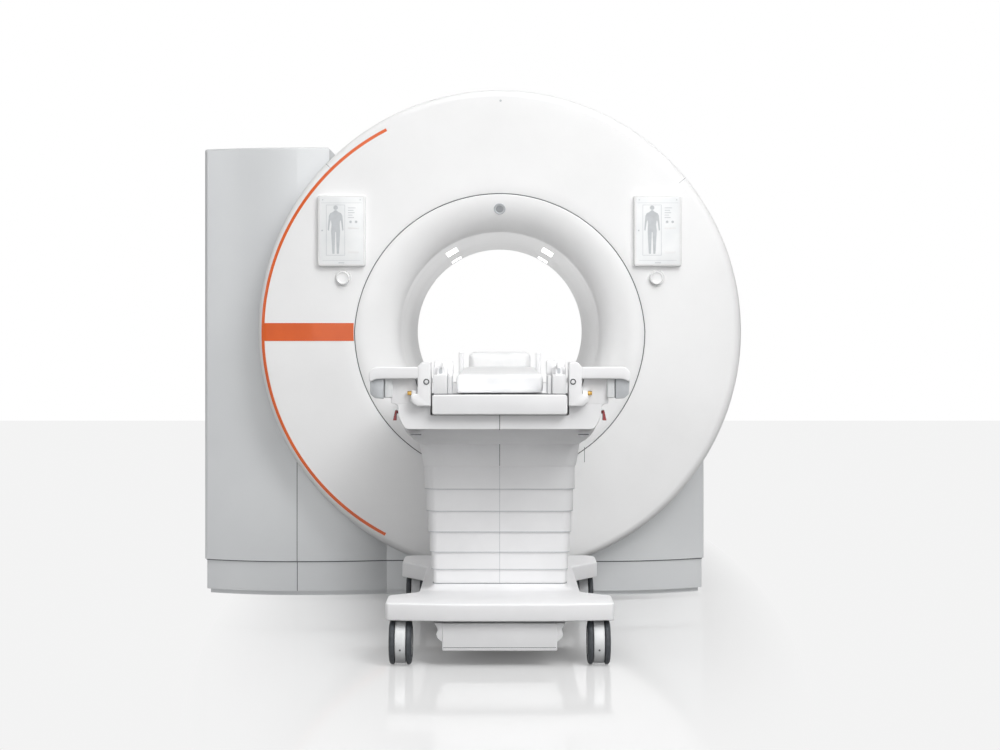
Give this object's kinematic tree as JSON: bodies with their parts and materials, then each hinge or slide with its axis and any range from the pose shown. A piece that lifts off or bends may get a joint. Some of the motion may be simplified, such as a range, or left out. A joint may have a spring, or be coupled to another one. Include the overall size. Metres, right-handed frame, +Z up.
{
  "type": "mri scanner",
  "caption": "Wide-bore MRI scanner with a round front cover, a silver service column, touch panels and a dockable patient table on casters.",
  "frame": {"origin": "on the floor under the isocentre, at the middle of the floor frame's bottom face", "axes": "+Z up, +Y into the bore from the patient table's side, +X to the right seen from the table"},
  "size_m": [2.1668, 3.35, 2.03],
  "materials": {
    "cover_white": "satin lacquer",
    "silver_paint": "fine metallic lacquer",
    "frame_paint": "powder coat",
    "vessel_steel": "brushed",
    "coil_copper": "wound wire",
    "coil_epoxy": "cast epoxy",
    "lens_glass": "dark lens",
    "panel_plastic": "glossy",
    "screen_glass": "cover glass over a lit display",
    "table_white": "fine moulded grain",
    "lift_aluminium": "anodised",
    "fender_grey": "moulded",
    "tyre_grey": "moulded tread",
    "mattress_vinyl": "upholstery vinyl",
    "lever_red": "moulded",
    "accent_orange": "lacquered film",
    "light_window": "lit diffuser",
    "connector_brass": "turned",
    "symbol_grey": "printed",
    "joint_shadow": "seal"
  },
  "bodies": {
    "magnet": {"floor_frame": "frame_paint", "vacuum_vessel": "vessel_steel", "helium_vessel": "vessel_steel", "magnet_coils": "coil_copper", "gradient_coil": "coil_epoxy", "body_coil": "coil_epoxy", "bore_liner": "cover_white", "bore_bridge": "cover_white", "front_cover": "cover_white", "front_funnel": "cover_white", "rear_cover": "cover_white", "rear_funnel": "cover_white", "shroud_top": "cover_white", "shroud_right": "cover_white", "left_column_cover": "silver_paint", "left_base_cover": "silver_paint", "right_base_cover": "silver_paint", "left_plinth": "silver_paint", "right_plinth": "silver_paint", "cold_head": "vessel_steel", "patient_camera": "lens_glass", "panel_housings": "panel_plastic", "panel_screens": "screen_glass", "dock_receiver": "frame_paint"},
    "knob_left": {"knob_left": "panel_plastic"},
    "knob_right": {"knob_right": "panel_plastic"},
    "trolley": {"trolley_base": "table_white", "chassis_frame": "frame_paint", "undercarriage_pan": "table_white", "dock_tongue": "vessel_steel", "lift_tube_lower": "lift_aluminium", "column_cover_6": "table_white"},
    "brake_pedal": {"brake_pedal": "table_white"},
    "lift": {"carrier_shell": "table_white", "neck_cover": "table_white", "column_cover_1": "table_white", "lift_tube_upper": "lift_aluminium", "handle_brackets": "table_white", "push_handle_left": "table_white", "push_handle_right": "table_white"},
    "lift_stage": {"lift_tube_middle": "lift_aluminium"},
    "cover_2": {"column_cover_2": "table_white"},
    "cover_3": {"column_cover_3": "table_white"},
    "cover_4": {"column_cover_4": "table_white"},
    "cover_5": {"column_cover_5": "table_white"},
    "tabletop": {"tabletop": "table_white", "mattress": "mattress_vinyl", "headrest": "mattress_vinyl", "coil_sockets": "table_white"},
    "release_lever_left": {"release_lever_left": "lever_red"},
    "release_lever_right": {"release_lever_right": "lever_red"},
    "swivel_front_left": {"caster_fork_front_left": "fender_grey"},
    "wheels_front_left": {"caster_wheels_front_left": "tyre_grey"},
    "swivel_front_right": {"caster_fork_front_right": "fender_grey"},
    "wheels_front_right": {"caster_wheels_front_right": "tyre_grey"},
    "swivel_rear_left": {"caster_fork_rear_left": "fender_grey"},
    "wheels_rear_left": {"caster_wheels_rear_left": "tyre_grey"},
    "swivel_rear_right": {"caster_fork_rear_right": "fender_grey"},
    "wheels_rear_right": {"caster_wheels_rear_right": "tyre_grey"}
  },
  "joints": [
    {"name": "dock_slide", "type": "slide", "parent": "magnet", "child": "trolley", "axis": [0, 1, 0], "range_m": [-1.5, 0]},
    {"name": "lift_slide", "type": "slide", "parent": "trolley", "child": "lift", "axis": [0, 0, 1], "range_m": [-0.31, 0]},
    {"name": "stage_slide", "type": "slide", "parent": "trolley", "child": "lift_stage", "axis": [0, 0, 1], "range_m": [-0.1556, 0]},
    {"name": "tabletop_slide", "type": "slide", "parent": "lift", "child": "tabletop", "axis": [0, 1, 0], "range_m": [0, 1.25]},
    {"name": "pedal_hinge", "type": "hinge", "parent": "trolley", "child": "brake_pedal", "pos_m": [0, -2.18, 0.115], "axis": [1, 0, 0], "range_deg": [0, 8], "stiffness_Nm_per_rad": 400, "springref_deg": -28.65},
    {"name": "knob_turn_left", "type": "hinge", "parent": "magnet", "child": "knob_left", "pos_m": [-0.621, -0.93, 1.282], "axis": [0, 1, 0], "range_deg": [-40, 40], "stiffness_Nm_per_rad": 0.5},
    {"name": "knob_turn_right", "type": "hinge", "parent": "magnet", "child": "knob_right", "pos_m": [0.621, -0.93, 1.282], "axis": [0, 1, 0], "range_deg": [-40, 40], "stiffness_Nm_per_rad": 0.5},
    {"name": "release_turn_left", "type": "hinge", "parent": "lift", "child": "release_lever_left", "pos_m": [-0.33, -2.34, 0.812], "axis": [1, 0, 0], "range_deg": [-20, 0], "stiffness_Nm_per_rad": 2},
    {"name": "release_turn_right", "type": "hinge", "parent": "lift", "child": "release_lever_right", "pos_m": [0.33, -2.34, 0.812], "axis": [1, 0, 0], "range_deg": [-20, 0], "stiffness_Nm_per_rad": 2},
    {"name": "cover_slide_2", "type": "slide", "parent": "trolley", "child": "cover_2", "axis": [0, 0, 1], "range_m": [-0.24, 0]},
    {"name": "cover_slide_3", "type": "slide", "parent": "trolley", "child": "cover_3", "axis": [0, 0, 1], "range_m": [-0.17, 0]},
    {"name": "cover_slide_4", "type": "slide", "parent": "trolley", "child": "cover_4", "axis": [0, 0, 1], "range_m": [-0.102, 0]},
    {"name": "cover_slide_5", "type": "slide", "parent": "trolley", "child": "cover_5", "axis": [0, 0, 1], "range_m": [-0.044, 0]},
    {"name": "swivel_turn_front_left", "type": "hinge", "parent": "trolley", "child": "swivel_front_left", "pos_m": [-0.318, -2.29, 0.148], "axis": [0, 0, 1], "continuous": true},
    {"name": "wheel_turn_front_left", "type": "hinge", "parent": "swivel_front_left", "child": "wheels_front_left", "pos_m": [-0.318, -2.312, 0.072], "axis": [1, 0, 0], "continuous": true},
    {"name": "swivel_turn_front_right", "type": "hinge", "parent": "trolley", "child": "swivel_front_right", "pos_m": [0.318, -2.29, 0.148], "axis": [0, 0, 1], "continuous": true},
    {"name": "wheel_turn_front_right", "type": "hinge", "parent": "swivel_front_right", "child": "wheels_front_right", "pos_m": [0.318, -2.312, 0.072], "axis": [1, 0, 0], "continuous": true},
    {"name": "swivel_turn_rear_left", "type": "hinge", "parent": "trolley", "child": "swivel_rear_left", "pos_m": [-0.318, -1.18, 0.148], "axis": [0, 0, 1], "continuous": true},
    {"name": "wheel_turn_rear_left", "type": "hinge", "parent": "swivel_rear_left", "child": "wheels_rear_left", "pos_m": [-0.318, -1.202, 0.072], "axis": [1, 0, 0], "continuous": true},
    {"name": "swivel_turn_rear_right", "type": "hinge", "parent": "trolley", "child": "swivel_rear_right", "pos_m": [0.318, -1.18, 0.148], "axis": [0, 0, 1], "continuous": true},
    {"name": "wheel_turn_rear_right", "type": "hinge", "parent": "swivel_rear_right", "child": "wheels_rear_right", "pos_m": [0.318, -1.202, 0.072], "axis": [1, 0, 0], "continuous": true}
  ],
  "couplings": [
    {"joint": "stage_slide", "follows": "lift_slide", "ratio": 0.5},
    {"joint": "cover_slide_2", "follows": "lift_slide", "ratio": 0.771},
    {"joint": "cover_slide_3", "follows": "lift_slide", "ratio": 0.5452},
    {"joint": "cover_slide_4", "follows": "lift_slide", "ratio": 0.3258},
    {"joint": "cover_slide_5", "follows": "lift_slide", "ratio": 0.1387}
  ]
}
